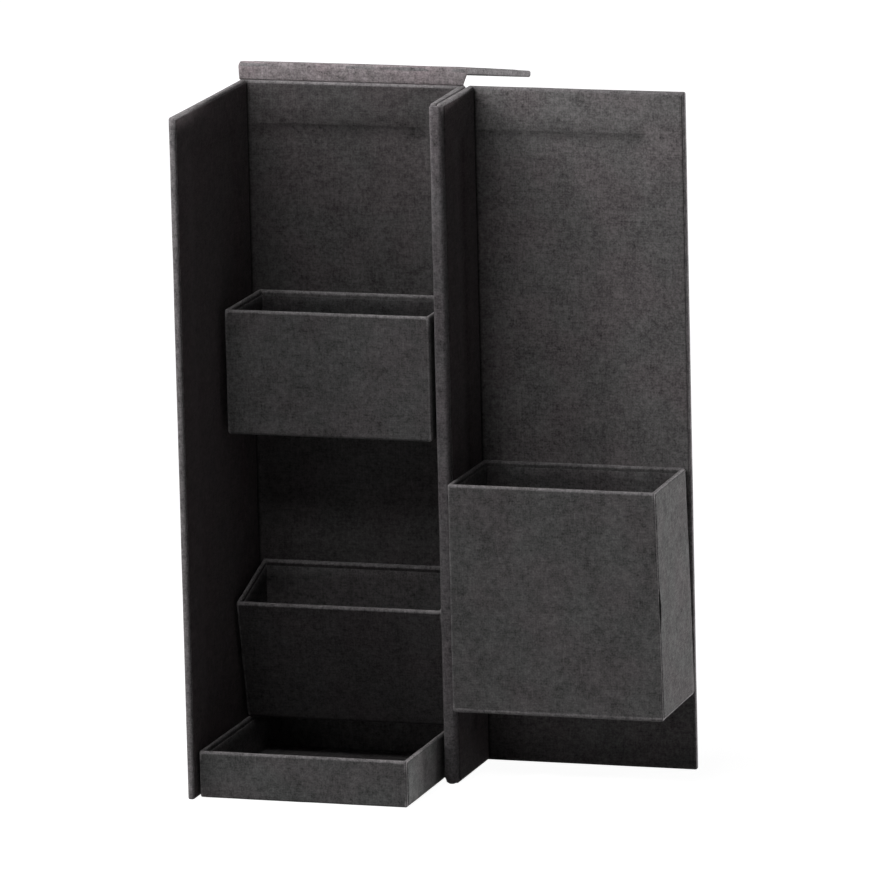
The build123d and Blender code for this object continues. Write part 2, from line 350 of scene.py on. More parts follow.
def cloth_material(name, dye_colour, rubbed_colour, wear):
    """Book cloth of this dye. Its weave follows the cloth_place of each piece, in millimetres."""
    material, tree, surface = fresh_material(name)
    place = shader_node(tree, "ShaderNodeAttribute", {}, attribute_name="cloth_place").outputs["Vector"]
    edge = shader_node(tree, "ShaderNodeAttribute", {}, attribute_name="edge").outputs["Fac"]
    drawn = shader_node(tree, "ShaderNodeAttribute", {}, attribute_name="drawn").outputs["Fac"]
    cloth = shader_node(
        tree, "ShaderNodeGroup",
        {
            "Place": place, "Edge": edge, "Dye": dye_colour, "Rubbed dye": rubbed_colour,
            "Grain": cloth_grain, "Patches": cloth_patches, "Wear": wear, "Painted shade": drawn,
        },
        node_tree=cloth_face,
    ).outputs
    bump = shader_node(tree, "ShaderNodeBump", {"Height": cloth["Height"], "Distance": cloth_relief * mm})
    tree.links.new(cloth["Colour"], surface["Base Color"])
    tree.links.new(cloth["Roughness"], surface["Roughness"])
    tree.links.new(bump.outputs[0], surface["Normal"])
    surface["Specular IOR Level"].default_value = cloth_shine
    surface["Sheen Weight"].default_value = cloth_sheen
    surface["Sheen Roughness"].default_value = sheen_roughness
    return material


def between(low, high, step):
    """Evenly spaced places between low and high, about step apart, without the two ends."""
    count = max(1, round((high - low) / step))
    return [low + (high - low) * i / count for i in range(1, count)]


def wall_matrix(node, across, up):
    """Carries a wall's own millimetres (across, up, out from its inner face) to its place, and its size."""
    ways = (across, up, across.cross(up))
    points = [v.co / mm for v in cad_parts[node].data.vertices]
    spans = [(min(p.dot(way) for p in points), max(p.dot(way) for p in points)) for way in ways]
    turned = Matrix(ways).transposed()
    corner = turned @ Vector([low for low, high in spans])
    carry = Matrix.Translation(corner * mm) @ turned.to_4x4() @ Matrix.Scale(mm, 4)
    return carry, Vector([high - low for low, high in spans])


def cut_across(bm, axis, places):
    """Cuts the mesh by planes square to one axis, so that its faces can follow small waves."""
    for place in places:
        everything = bm.verts[:] + bm.edges[:] + bm.faces[:]
        point = [place if i == axis else 0 for i in range(3)]
        normal = [float(i == axis) for i in range(3)]
        bmesh.ops.bisect_plane(bm, geom=everything, dist=1e-4, plane_co=point, plane_no=normal)


def round_edges(bm, radius, edges):
    """Rounds these edges, marks the rounded faces for wear and gives the places of the sharp corners."""
    bend = bm.faces.layers.int.new("bend")
    corners = [v.co.copy() for v in bm.verts]
    rounded = bmesh.ops.bevel(
        bm, geom=edges, offset=radius, offset_type="OFFSET", segments=3, profile=0.5, affect="EDGES"
    )
    for face in rounded["faces"]:
        face[bend] = 1
    return corners


def mark_wear(bm, corners):
    """Sets each point's edge value: 1 on a rounded edge, up to 2 at a corner and 0 on the faces."""
    bend = bm.faces.layers.int["bend"]
    edge = bm.verts.layers.float.new("edge")
    for v in bm.verts:
        if any(face[bend] for face in v.link_faces):
            nearest = min((v.co - corner).length for corner in corners)
            v[edge] = 1 + max(0, 1 - nearest / corner_reach)


def wave(bm, depth, length, seed):
    """Moves each point along its normal by smooth noise, as glued cloth is never quite flat."""
    bm.normal_update()
    shift = Vector([seed * apart for apart in wave_shift])
    moves = [(v, v.normal * depth * noise.noise(v.co / length + shift)) for v in bm.verts]
    for v, move in moves:
        v.co += move


def smooth_step(low, high, value):
    """0 below low, 1 above high and smooth between them."""
    share = min(1, max(0, (value - low) / (high - low)))
    return share * share * (3 - 2 * share)


def shade_corners(bm, name, length):
    """Paints shade into the cloth where it is pressed into an inner corner between two walls."""
    drawn = bm.verts.layers.float.new("drawn")
    for v in bm.verts:
        out_of_corner = min([abs(v.co.x - place % length) for place in inner_corners[name]], default=length)
        if v.co.z < corner_depth:
            v[drawn] = corner_shade * (1 - smooth_step(*corner_fades, out_of_corner))


def lay_weave(bm, seed):
    """Gives each face corner its place on the cloth, from the side that its face looks to."""
    bm.normal_update()
    place = bm.loops.layers.float_vector.new("cloth_place")
    for face in bm.faces:
        facing = [abs(n) for n in face.normal]
        away = facing.index(max(facing))
        first, second = [i for i in range(3) if i != away]
        for corner in face.loops:
            at = corner.vert.co
            corner[place] = Vector((at[first], at[second], at[away] + weave_shift * seed))


def make_piece(bm, name, body, carry, thickness, material):
    """Turns the mesh into a sheet of this thickness in its place, and on its body where it has one."""
    bm.transform(carry)
    mesh = bpy.data.meshes.new(name)
    bm.to_mesh(mesh)
    bm.free()
    mesh.shade_smooth()
    mesh.materials.append(material)
    piece = bpy.data.objects.new(name, mesh)
    bpy.context.scene.collection.objects.link(piece)
    sheet = piece.modifiers.new("thickness of the cloth", "SOLIDIFY")
    sheet.thickness = thickness * mm
    if body:
        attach(piece, body)
    return piece


wall_cloth = cloth_material("wall cloth", charcoal, rubbed_grey, outer_wear)
rub = edge_radius + rubbed_width
for seed, (name, (body, across, up)) in enumerate(walls.items()):
    carry, size = wall_matrix(f"{name}_cloth", across, up)
    full_size = size + Vector((2 * edge_fullness, 2 * edge_fullness, 0))
    block = Matrix.Translation(size / 2) @ Matrix.Diagonal(full_size).to_4x4()
    bm = bmesh.new()
    bmesh.ops.create_cube(bm, size=1, matrix=block)
    corners = round_edges(bm, edge_radius, bm.edges[:])
    for axis, turn_in in ((0, side_turn_in), (1, end_turn_in)):
        length = size[axis]
        borders = [rub, turn_in, length - turn_in, length - rub]
        cut_across(bm, axis, borders + between(turn_in, length - turn_in, panel_step))
    mark_wear(bm, corners)
    if name == "inner_side":
        for v in bm.verts:
            v.co.z *= 1 + packing * lean * v.co.x / size.z
    # painted shade in the inner corners
    shade_corners(bm, name, size.x)
    wave(bm, *wall_swell, seed)
    wave(bm, *wall_ripple, seed + 0.5)
    lay_weave(bm, seed)
    window = [
        face for face in bm.faces
        if face.normal.z < facing_in
        and side_turn_in < face.calc_center_median().x < size.x - side_turn_in
        and end_turn_in < face.calc_center_median().y < size.y - end_turn_in
    ]
    bmesh.ops.delete(bm, geom=window, context="FACES")
    wrap = make_piece(bm, f"{name}_wrap", body, carry, cloth_thickness, wall_cloth)
    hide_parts(f"{name}_cloth")


# ---- Linings of the walls and the lid --------------------------------------------------------------
# The same cloth, cut a little smaller than the wall and glued down last. It covers the turned-in border,
# whose inner edge shows through it as a faint step.
lining_thickness = 0.25
lining_step = 6.0
lining_swell = (0.09, 22.0)
lining_ripple = (0.025, 6.0)
lining_wear = 0.2
lining_seed = 9            # each group of pieces has its own seeds, so that no two wave or weave alike
step_width = 1.2
border_lines = (0, 0.25, 0.6, 1.4, 2.0, 2.6, 3.3, 4.3)  # rows of points in from the lining's own edge
band_lines = (2.2, 4.0, 6.0, 9.0)                      # rows of points below the upper step
border_dip = 0.22          # how far the lining's edge is pressed down
border_fades = (-0.3, 0.5)  # between these two places, in from the edge, it comes up again
border_rub = 0.6
painted_shadow_depth = 0.34             # how much a painted shadow darkens the cloth just below the upper step
painted_shadow_begins = (-1.2, 0.6)  # where the painted shadow begins and where it is at its deepest, down from the step
linings = {                # dye with painted light and shade, margin, height of the step, how far down the painted shadow below it reaches
    "left_wall": ((0.0415, 0.0325, 0.0345, 1), 1.05, 0.5, 0.0),
    "inner_side": ((0.076, 0.071, 0.073, 1), 1.05, 0.5, 0.0),
    "back_wall": ((0.0645, 0.060, 0.0605, 1), 1.05, 0.5, 9.0),
    "cover_side": ((0.046, 0.0375, 0.0395, 1), 1.05, 0.5, 0.0),
    "cover_front": ((0.148, 0.139, 0.140, 1), 1.05, 0.3, 6.0),
    "lid": ((0.084, 0.079, 0.080, 1), 5.0, 0.3, 0.0),
}


def sheet_of(rows, columns, at):
    """A mesh with a point at(row, column) for each row and column, its faces turned to one side."""
    bm = bmesh.new()
    points = [[bm.verts.new(at(row, column)) for column in columns] for row in rows]
    for low_row, high_row in zip(points, points[1:]):
        for i in range(len(columns) - 1):
            bm.faces.new((low_row[i], high_row[i], high_row[i + 1], low_row[i + 1]))
    return bm


def lines_across(low, high, inward, step):
    """Places from low to high: these distances in from both ends, and evenly spaced ones between them."""
    near = [low + distance for distance in inward]
    far = [high - distance for distance in reversed(inward)]
    return near + between(near[-1], far[0], step) + far


def lines_of_lining(length, margin, turn_in, past_step):
    """Where the lining has points along one axis: close together at its edges and over the steps."""
    edges = [margin + inward for inward in border_lines]
    steps = [turn_in - step_width / 2, turn_in, turn_in + step_width / 2]
    steps += [turn_in + reach for reach in past_step]
    return lines_across(0, length, edges + between(edges[-1], steps[0], lining_step) + steps, lining_step)


def lining_point(row, column, size, margin, step_height):
    """A point of the lining, which is lifted by the turned-in border and pressed down at its own edge."""
    past_side = max(side_turn_in - column, column - (size.x - side_turn_in))
    past_end = max(end_turn_in - row, row - (size.y - end_turn_in))
    raised = smooth_step(-step_width / 2, step_width / 2, max(past_side, past_end))
    to_side = min(column, size.x - column) - margin
    to_end = min(row, size.y - row) - margin
    pressed = 1 - smooth_step(*border_fades, min(to_side, to_end))
    return Vector((column, row, -step_height * raised + border_dip * pressed))


for seed, (name, (body, across, up)) in enumerate(walls.items(), lining_seed):
    carry, size = wall_matrix(f"{name}_cloth", across, up)
    # each wall's dye carries painted light and shade for how that wall is lit
    dye, margin, step_height, band = linings[name]
    bm = sheet_of(
        lines_of_lining(size.y, margin, end_turn_in, band_lines),
        lines_of_lining(size.x, margin, side_turn_in, ()),
        lambda row, column: lining_point(row, column, size, margin, step_height),
    )
    # painted shade in the inner corners
    shade_corners(bm, name, size.x)
    edge = bm.verts.layers.float.new("edge")
    drawn = bm.verts.layers.float["drawn"]
    # the band below the upper step is darkened as a painted shadow, but not over the cover front's free
    # border
    free_border = side_turn_in if name == "cover_front" else 0
    for v in bm.verts:
        v[edge] = border_rub if v.is_boundary else 0.0
        below = size.y - end_turn_in - v.co.y
        if band and v.co.x > free_border:
            begun = smooth_step(*painted_shadow_begins, below)
            v[drawn] = max(v[drawn], painted_shadow_depth * begun * (1 - smooth_step(painted_shadow_begins[1], band, below)))
    wave(bm, *lining_swell, seed)
    wave(bm, *lining_ripple, seed + 0.5)
    lay_weave(bm, seed)
    wall_lining = cloth_material(f"{name} lining", dye, rubbed_grey, lining_wear)
    lining = make_piece(bm, f"{name}_lining", body, carry, lining_thickness, wall_lining)
    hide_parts(f"{name}_liner")


# ---- Cover hinge -----------------------------------------------------------------------------------
# A strip of doubled cloth glued to the front ends of the two half-depth side walls, which lie back to back
# while the cover is open. It bends round both ends as a book's spine does, and ends under the linings.
hinge_thickness = 0.6
hinge_radius = 1.8
hinge_laps = (7.0, 4, 2)   # how far the strip's borders reach onto the two walls, and its points on them
hinge_proud = 0.12         # how far the borders stand off the walls' cloth
bend_proud = 0.4 * hinge_proud
hinge_row_step = 5.0
spine_step = 0.7
spine_ends = (0, 0.3, 1.0)  # rows of points in from the strip's foot and head
end_draw = 0.45            # how far the folded ends are pulled in
end_reach = 0.9            # and how far from the end that begins
half_spine = 3
bend_points = 6            # steps round each of the two bends
foot_reach = 5             # how far up from the floor the foot is rounded
foot_lifts = (2.3, 0.5)    # how far it is rounded up at the left and at the right
foot_curves = (2.2, 3)     # and how late, from the middle outwards, each of them rises
foot_drop = 0.2            # how far it hangs down in the middle
spine_swell = (0.16, 30.0)
spine_ripple = (0.05, 6.0)
spine_rub = 0.35
spine_end_rub = 0.9
rubbed_end = 0.5           # how far in from the foot and the head the fold is rubbed
hinge_wear = 0.3
hinge_seed = 21
hinge_dye = (0.11, 0.102, 0.1055, 1)
hinge_rubbed = (0.155, 0.145, 0.150, 1)
free_cloth = 0.6           # how far inside the strip's sides the turning begins and ends
in_place = Matrix.Scale(mm, 4)  # for a mesh that is made where it belongs


def arc(centre, radius, start, end, count):
    """Points on an arc, from the start angle to the end angle in degrees, both ends included."""
    turns = [radians(start + (end - start) * i / count) for i in range(count + 1)]
    return [(centre[0] + radius * cos(t), centre[1] + radius * sin(t)) for t in turns]


low, high = [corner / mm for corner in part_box("cover_hinge_cloth")]
hinge_left, hinge_right, hinge_front, walls_front = low.x, high.x, low.y, high.y
spine_low, spine_high = low.z, high.z
arc_depth = hinge_front + hinge_radius
spine_path = [(hinge_left - hinge_proud - lean * lap, walls_front + lap) for lap in hinge_laps]
spine_path += [(hinge_left - bend_proud, walls_front)]
spine_path += arc((hinge_left + hinge_radius, arc_depth), hinge_radius, 180, 270, bend_points)
spine_path += [
    (x, hinge_front) for x in between(hinge_left + hinge_radius, hinge_right - hinge_radius, spine_step)
]
spine_path += arc((hinge_right - hinge_radius, arc_depth), hinge_radius, 270, 360, bend_points)
spine_path += [(hinge_right + bend_proud, walls_front)]
spine_path += [(hinge_right + hinge_proud, walls_front + lap) for lap in reversed(hinge_laps)]
spine_rows = lines_across(spine_low, spine_high, spine_ends, hinge_row_step)


def spine_point(row, column):
    """The folded ends of the strip are pulled in, and rounder at the foot than at the head."""
    x, y = spine_path[column]
    to_end = min(row - spine_low, spine_high - row)
    drawn_in = end_draw * (1 - smooth_step(0, end_reach, to_end))
    middle = (hinge_left + hinge_right) / 2
    aside = (x - middle) / (hinge_right - middle)
    near_foot = 1 - smooth_step(0, foot_reach, row - spine_low)
    left_lift = foot_lifts[0] * max(0, -aside) ** foot_curves[0]
    right_lift = foot_lifts[1] * max(0, aside) ** foot_curves[1]
    lifted = near_foot * (left_lift + right_lift - foot_drop)
    pulled = drawn_in * (y < walls_front)
    return Vector((x - drawn_in * (x - middle) / half_spine, y + pulled, row + lifted))


bm = sheet_of(spine_rows, range(len(spine_path)), spine_point)
bmesh.ops.reverse_faces(bm, faces=bm.faces[:])
edge = bm.verts.layers.float.new("edge")
for v in bm.verts:
    to_end = min(v.co.z - spine_low, spine_high - v.co.z)
    v[edge] = spine_rub * (v.co.y < arc_depth) + spine_end_rub * (to_end < rubbed_end)
wave(bm, *spine_swell, hinge_seed)
wave(bm, *spine_ripple, hinge_seed + 1)
lay_weave(bm, hinge_seed)
hinge_cloth = cloth_material("hinge cloth", hinge_dye, hinge_rubbed, hinge_wear)
spine = make_piece(bm, "cover_hinge_strip", None, in_place, hinge_thickness, hinge_cloth)
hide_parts("cover_hinge_cloth")
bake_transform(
    spine, "standing_half", "cover",
    start=((hinge_left + free_cloth) * mm, 0, 0), end=((hinge_right - free_cloth) * mm, 0, 0),
)


# ---- Lid hinge -------------------------------------------------------------------------------------
# A doubled strip of the same cloth, paler where it has been worked and lightened more as painted light,
# and cut on the slant. It is glued under the back wall's cloth, comes out of the wall's top, covers the
# lid's near edge and ends under its lining.
web_step = 6.0 / 110       # spacing of its points, as a share of its length
web_ends = (0, 0.004, 0.012)  # and the points in from its ends
web_over = 0.4             # how far the strip's left end stands past the wall's
web_short = 0.5            # how far its right end stops short of the wall's corner
web_slant_cut = 2.4
web_corner = 2.1           # radius of the strip's upper left corner
web_proud = 0.15           # how far it stands off the lid's cloth
lid_tail = 6.0             # how far it reaches onto the lid's inner face
web_starts_turning = 0.5   # how far above the wall's top it begins to follow the lid
web_swell = (0.12, 18.0)
web_ripple = (0.04, 5.0)
web_seed = 31
# both colours are lightened beyond the worked cloth's paleness, as painted light
web_dye_and_light = (0.255, 0.223, 0.23, 1)
web_rubbed_and_light = (0.34, 0.305, 0.312, 1)

low, high = [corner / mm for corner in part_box("back_wall_cloth")]
wall_left, wall_right, wall_back, wall_top = low.x, high.x, high.y, high.z
lid_carry, lid_size = wall_matrix("lid_cloth", *walls["lid"][1:])
near_top = lid_carry @ Vector((0, 0, 0)) / mm
near_low = lid_carry @ Vector((0, 0, lid_size.z)) / mm
on_lid = lid_carry @ Vector((0, lid_tail, 0)) / mm
lid_out = Vector((0, -cos(lid_droop), sin(lid_droop)))
lid_up = Vector((0, sin(lid_droop), cos(lid_droop)))
out_of_wall = (            # in from the wall's back and up from its top
    (1.0, -0.8), (1.15, -0.1), (1.6, 0.14), (2.1, 0.2), (2.45, 0.45),
    (2.62, 0.9), (2.8, 1.7), (2.95, 2.7), (3.1, 3.7), (3.2, 4.8),
)
round_lid = (              # out from a corner of the lid's near edge and up from it
    (near_low, 0.1, 0), (near_low, web_proud, 1.0), (near_top, web_proud, -1.5),
    (near_top, web_proud, -0.9), (near_top, 0.1, -0.45), (near_top, -0.02, -0.15),
    (near_top, -0.3, 0.08), (near_top, -0.9, web_proud), (near_top, -3.0, web_proud),
    (on_lid, 0, web_proud),
)
web_path = [Vector((0, wall_back - inward, wall_top + rise)) for inward, rise in out_of_wall]
web_path += [corner + lid_out * out + lid_up * rise for corner, out, rise in round_lid]


def web_point(row, column):
    """The free part widens upwards at its right end, from the wall's corner to the lid's corner."""
    at = web_path[row]
    risen = min(1, max(0, (at.z - wall_top) / (near_low.z - wall_top)))
    right = wall_right - web_short + web_slant_cut * risen
    over = min(1, max(0, at.z - (near_top.z - web_corner)) / web_corner)
    left = wall_left - web_over + web_corner * (1 - (1 - over ** 2) ** 0.5)
    return Vector((left + (right - left) * column, at.y, at.z))


bm = sheet_of(range(len(web_path)), lines_across(0, 1, web_ends, web_step), web_point)
bmesh.ops.reverse_faces(bm, faces=bm.faces[:])
bm.verts.layers.float.new("edge")
wave(bm, *web_swell, web_seed)
wave(bm, *web_ripple, web_seed + 1)
lay_weave(bm, web_seed)
web_cloth = cloth_material("lid hinge cloth", web_dye_and_light, web_rubbed_and_light, hinge_wear)
web = make_piece(bm, "lid_hinge_strip", None, in_place, hinge_thickness, web_cloth)
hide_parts("lid_hinge_cloth")
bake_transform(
    web, "standing_half", "lid",
    start=(0, 0, (wall_top + web_starts_turning) * mm), end=(0, 0, near_low.z * mm),
)


# ---- Cloth round the pockets and the tray ----------------------------------------------------------
# Each pocket is a card box wrapped in one piece of the same cloth, turned in over the rim and lapped on the
# right side. The pockets are glued by their backs to the walls, and the tray between the walls at the foot.
card_wall = 1.6            # card with cloth on both faces
plan_radius = 0.8
least_radius = 0.25        # of the corners inside the foot and the rim
plan_order = ((-1, -1), (1, -1), (1, 1), (-1, 1))  # left front, right front, right back, left back
turn_points = 4            # steps round a corner in plan
roll_points = 6            # steps round the rim or the foot
pocket_turn_in = 8.0
pocket_step = 5.0
base_lines = (14, 5, rubbed_width)  # rows of points under the pocket, in from its rounded foot
turn_in_lines = (4, pocket_turn_in)  # and inside it, down from the rim
upright_rub = 0.45         # how rubbed the pocket's upright edges are, against its rim
corner_rub = 0.3           # edges that are rubbed less than this have no worn corners
lap_columns = (1.35, 1.75, 2.95, 5.35)  # where the lap begins behind the front corner, and its next points
lap_gape = (1, 0.8, 0.35, 0.05)         # how much of the gape each of them has
lap_margin = 0.4           # how far from the pocket's back the lap ends
lap_row_step = 3.0
lap_rub = 0.7
lap_proud = 0.3
tight_lap_proud = 0.12
gape_reach = 0.11          # how far up and down from the middle the gape reaches, in heights
pocket_swell = (0.10, 17.0)
pocket_ripple = (0.04, 5.0)
pocket_seed = 40
# the pockets' rubbed colour, partly a painted highlight on their rims
pocket_rubbed_and_highlight = (0.22, 0.208, 0.212, 1)
pockets = {                # body, dye (the lower pocket's with painted shade), fullness at the sides and below, the foot's radius and rub (partly painted light), the gape
    "upper_pocket": ("standing_half", (0.0912, 0.0872, 0.0878, 1), 0.15, 0.35, 1.6, 0.0, 0.0),
    "lower_pocket": ("standing_half", (0.044, 0.0405, 0.0415, 1), 0.15, 0.35, 1.6, 0.2, 0.0),
    "tray": ("standing_half", (0.09, 0.088, 0.088, 1), 0.12, 0.0, 1.15, 0.3, 0.0),
    "tall_pocket": ("cover", (0.0955, 0.092, 0.092, 1), 0.15, 0.5, 1.8, 0.8, 0.7),
}


def corners_of(node, fullness=0.0, foot_fullness=0.0):
    """A pocket's eight outer corners in millimetres, by side: left or right, front or back, low or high."""
    points = [v.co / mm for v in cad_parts[node].data.vertices]
    found = {}
    for side, depth in plan_order:
        for rise in (-1, 1):
            way = Vector((side, depth, rise))
            corner = max(points, key=lambda p: p.dot(way))
            below = -foot_fullness if rise < 0 else 0
            found[side, depth, rise] = corner + Vector((side * fullness, min(depth, 0) * fullness, below))
    return found


def plan_loop(corners, row, radius):
    """Points round a pocket's plan, and for each of them 1 on a rounded corner and 0 elsewhere.

    A row is a share of the way up, millimetres above that share and millimetres in from the outside.
    """
    share, extra, inset = row
    turned = []
    for side, depth in plan_order:
        low, high = corners[side, depth, -1], corners[side, depth, 1]
        front, back = corners[side, -1, 1], corners[side, 1, 1]
        slope = (back.z - front.z) / (back.y - front.y)
        at = low + (high - low) * (share + extra / (high.z - low.z))
        turned.append(at - Vector((side * inset, depth * inset, slope * depth * inset * share)))
    loop, bends = [], []
    for i, corner in enumerate(turned):
        ahead = turned[(i + 1) % 4]
        before = (corner - turned[i - 1]).normalized()
        after = (ahead - corner).normalized()
        centre = corner + (after - before) * radius
        for k in range(turn_points + 1):
            turn = pi / 2 * k / turn_points
            loop.append(centre - after * radius * cos(turn) + before * radius * sin(turn))
            bends.append(1.0)
        foot, next_foot = corners[plan_order[i] + (-1,)], corners[plan_order[(i + 1) % 4] + (-1,)]
        length = (next_foot - foot).length - 2 * plan_radius
        start, end = corner + after * radius, ahead - after * radius
        for along in lines_across(0, 1, [rubbed_width / length], pocket_step / length):
            loop.append(start.lerp(end, along))
            bends.append(0.0)
    return loop, bends


def box_skin(corners, rows, radius_at):
    """A box-shaped skin through the rows. Its first row is closed by one flat face."""
    bm = bmesh.new()
    edge = bm.verts.layers.float.new("edge")
    loops = []
    for share, extra, inset, wear in rows:
        loop, bends = plan_loop(corners, (share, extra, inset), radius_at(inset))
        ring = []
        for point, bend in zip(loop, bends):
            v = bm.verts.new(point)
            nearest = min((point - corner).length for corner in corners.values())
            at_corner = max(0, 1 - nearest / corner_reach) if max(wear, bend) > corner_rub else 0
            v[edge] = max(wear, upright_rub * bend) + at_corner
            ring.append(v)
        loops.append(ring)
    bm.faces.new(reversed(loops[0]))
    for low_ring, high_ring in zip(loops, loops[1:]):
        for i in range(len(low_ring)):
            j = (i + 1) % len(low_ring)
            bm.faces.new((low_ring[i], low_ring[j], high_ring[j], high_ring[i]))
    return bm


def add_lap(bm, corners, foot_radius, rim_radius, proud, lift):
    """Lays the wrap's free end on the right side. Part of its front border has lifted."""
    edge = bm.verts.layers.float["edge"]
    foot_front, rim_front = corners[1, -1, -1], corners[1, -1, 1]
    foot_back, rim_back = corners[1, 1, -1], corners[1, 1, 1]
    depth = foot_back.y - foot_front.y
    height = rim_front.z - foot_front.z
    lap_end = depth - lap_margin
    columns = [*lap_columns, *between(lap_columns[-1], lap_end, pocket_step), lap_end]
    low, high = 2 * foot_radius / height, 1 - 2 / height
    shares = [foot_radius / height, low, *between(low, high, lap_row_step / height)]
    shares += [high, 1 - rim_radius / height]
    rows = []
    for share in shares:
        front, back = foot_front.lerp(rim_front, share), foot_back.lerp(rim_back, share)
        bulge = max(0, 1 - ((share - 0.5) / gape_reach) ** 2) ** 2
        row = []
        for i, column in enumerate(columns):
            gape = bulge * lap_gape[i] if i < len(lap_gape) else 0
            v = bm.verts.new(front.lerp(back, column / depth) + Vector((proud + lift * gape, 0, 0)))
            v[edge] = lap_rub * (i == 0)
            row.append(v)
        rows.append(row)
    for low_row, high_row in zip(rows, rows[1:]):
        for i in range(len(columns) - 1):
            bm.faces.new((low_row[i], low_row[i + 1], high_row[i + 1], high_row[i]))


for seed, (name, pocket) in enumerate(pockets.items(), pocket_seed):
    body, dye, fullness, foot_fullness, foot_radius, foot_rub_and_light, lift = pocket
    corners = corners_of(f"{name}_cloth", fullness, foot_fullness)
    rim_radius = (card_wall + fullness) / 2
    height = corners[1, -1, 1].z - corners[1, -1, -1].z
    lowest, highest = (foot_radius + rubbed_width) / height, 1 - (rim_radius + rubbed_width) / height
    foot_roll = arc((0, 0), foot_radius, 0, 90, roll_points)
    rim_roll = arc((0, 0), rim_radius, 0, 180, roll_points)
    rows = [(0, 0, foot_radius + inward, 0) for inward in base_lines]
    rows += [(0, foot_radius - c, foot_radius - s, foot_rub_and_light) for c, s in foot_roll]
    rows += [(share, 0, 0, 0) for share in lines_across(lowest, highest, (0,), pocket_step / height)]
    # the rims are fully rubbed, partly as a painted highlight of the light from above
    rows += [(1, s - rim_radius, rim_radius - c, 1) for c, s in rim_roll]
    rows += [(1, -drop, 2 * rim_radius, 0) for drop in (rim_radius + rubbed_width, *turn_in_lines)]
    bm = box_skin(corners, rows, lambda inset: max(plan_radius - inset, least_radius))
    proud = tight_lap_proud if name in ("upper_pocket", "lower_pocket") else lap_proud
    add_lap(bm, corners, foot_radius, rim_radius, proud, lift)
    wave(bm, *pocket_swell, seed)
    wave(bm, *pocket_ripple, seed + 1)
    lay_weave(bm, seed)
    pocket_cloth = cloth_material(f"{name} cloth", dye, pocket_rubbed_and_highlight, outer_wear)
    wrap = make_piece(bm, f"{name}_wrap", body, in_place, cloth_thickness, pocket_cloth)
    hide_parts(f"{name}_cloth")


# ---- Linings of the pockets and the tray -----------------------------------------------------------
# One more piece of the same cloth, folded to a box and glued inside each pocket. It covers the card and the
# turned-in edge of the wrap, and stops just under the rim.
pocket_lining_drop = 2.5   # from the rim down to the lining's edge
pocket_lining_lift = 0.3   # how far the turned-in edge of the wrap lifts the lining
half_step = 0.5            # half the width of the step that this makes
tuck = 0.4                 # how far down from its edge the lining is pressed to the wrap
tuck_gap = 0.03
lining_base_lines = (16, 8, 3, half_step)  # rows of points on the bottom, in from its folds
fold_radius = 0.8
fold_points = 4
inside_radius = 0.4        # of its upright folds
pocket_lining_rub = (0.2, 0.6)  # how rubbed the lining is just below its edge, and at the edge
pocket_weave_seed = 10     # past the seed of the pocket's wrap
# each lining's dye is lighter or darker as painted light and shade, for how the inside of its pocket is lit
pocket_lining_dyes_and_light = {
    "upper_pocket": (0.058, 0.0557, 0.0565, 1),
    "lower_pocket": (0.108, 0.1028, 0.1037, 1),
    "tray": (0.12, 0.114, 0.1152, 1),
    "tall_pocket": (0.115, 0.1095, 0.1106, 1),
}

for seed, (name, pocket) in enumerate(pockets.items(), pocket_seed):
    body = pocket[0]
    corners = corners_of(f"{name}_cloth")
    height = corners[1, -1, 1].z - corners[1, -1, -1].z
    over_turn_in = card_wall + pocket_lining_lift
    folded = card_wall + fold_radius
    lowest, highest = (folded + half_step) / height, 1 - (pocket_turn_in + 3 * half_step) / height
    shares = [lowest, *between(lowest, highest, pocket_step / height)]
    fold = arc((0, 0), fold_radius, 0, 90, fold_points)
    rows = [(0, card_wall, folded + inward, 0) for inward in lining_base_lines]
    rows += [(0, folded - c, folded - s, 0) for c, s in fold]
    rows += [(share, 0, card_wall, 0) for share in shares]
    rows += [
        (1, -pocket_turn_in - half_step, card_wall, 0),
        (1, -pocket_turn_in + half_step, over_turn_in, 0),
        (1, -2 * pocket_lining_drop, over_turn_in, 0),
        (1, -pocket_lining_drop - tuck, over_turn_in, pocket_lining_rub[0]),
        (1, -pocket_lining_drop, card_wall + tuck_gap, pocket_lining_rub[1]),
    ]
    bm = box_skin(corners, rows, lambda inset: inside_radius)
    bmesh.ops.reverse_faces(bm, faces=bm.faces[:])
    wave(bm, *pocket_swell, seed)
    wave(bm, *pocket_ripple, seed + 1)
    lay_weave(bm, seed + pocket_weave_seed)
    pocket_lining = cloth_material(f"{name} lining", pocket_lining_dyes_and_light[name], rubbed_grey, lining_wear)
    lining = make_piece(
        bm, f"{name}_lining", body, in_place, lining_thickness, pocket_lining
    )
    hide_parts(f"{name}_liner")


# ---- Cloth under the tray --------------------------------------------------------------------------
# One flat sheet of the same cloth, cut a little smaller than the tray and glued under its base.
# The tray stands on it.
foot_margin = 1.6
foot_ends = (0, 0.5)       # rows of points in from its edges
foot_step = 8
foot_seed = 60
low, high = [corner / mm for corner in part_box("tray_base_cloth")]
low += Vector((foot_margin, foot_margin, 0))
high -= Vector((foot_margin, foot_margin, 0))
foot_rows = lines_across(low.y, high.y, foot_ends, foot_step)
foot_columns = lines_across(low.x, high.x, foot_ends, foot_step)
bm = sheet_of(foot_rows, foot_columns, lambda row, column: Vector((column, row, low.z)))
bm.verts.layers.float.new("edge")
lay_weave(bm, foot_seed)
foot_cloth = cloth_material("foot cloth", charcoal, rubbed_grey, outer_wear)
foot = make_piece(
    bm, "tray_foot_cloth", "standing_half", in_place, high.z - low.z, foot_cloth
)
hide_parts("tray_base_cloth")


